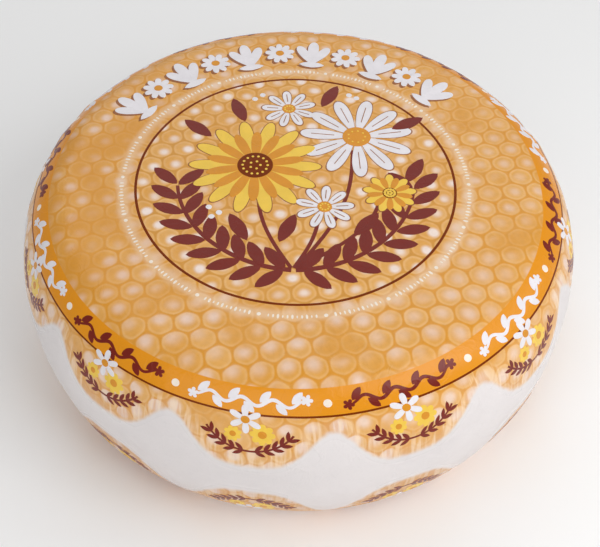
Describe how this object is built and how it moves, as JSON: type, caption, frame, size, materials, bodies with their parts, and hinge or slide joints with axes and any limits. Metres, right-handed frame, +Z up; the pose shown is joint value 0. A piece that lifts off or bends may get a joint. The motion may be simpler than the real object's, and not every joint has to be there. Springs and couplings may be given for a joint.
{
  "type": "goat gouda wheel",
  "caption": "Whole round goat gouda with soft shoulders in a smooth white coat, wrapped above and below in scalloped honeycomb labels.",
  "frame": {"origin": "centre of the face that the wheel rests on", "axes": "+Z up along the wheel's axis, +X to the picture's right, -Y towards the picture's viewer"},
  "size_m": [0.2496, 0.2496, 0.092],
  "materials": {
    "coat": "smooth off-white coat with a satin sheen",
    "label": "thin glossy film printed with a golden honeycomb"
  },
  "bodies": {
    "root": {"cheese_wheel": "coat", "top_label": "label", "foot_label": "label"}
  },
  "joints": []
}
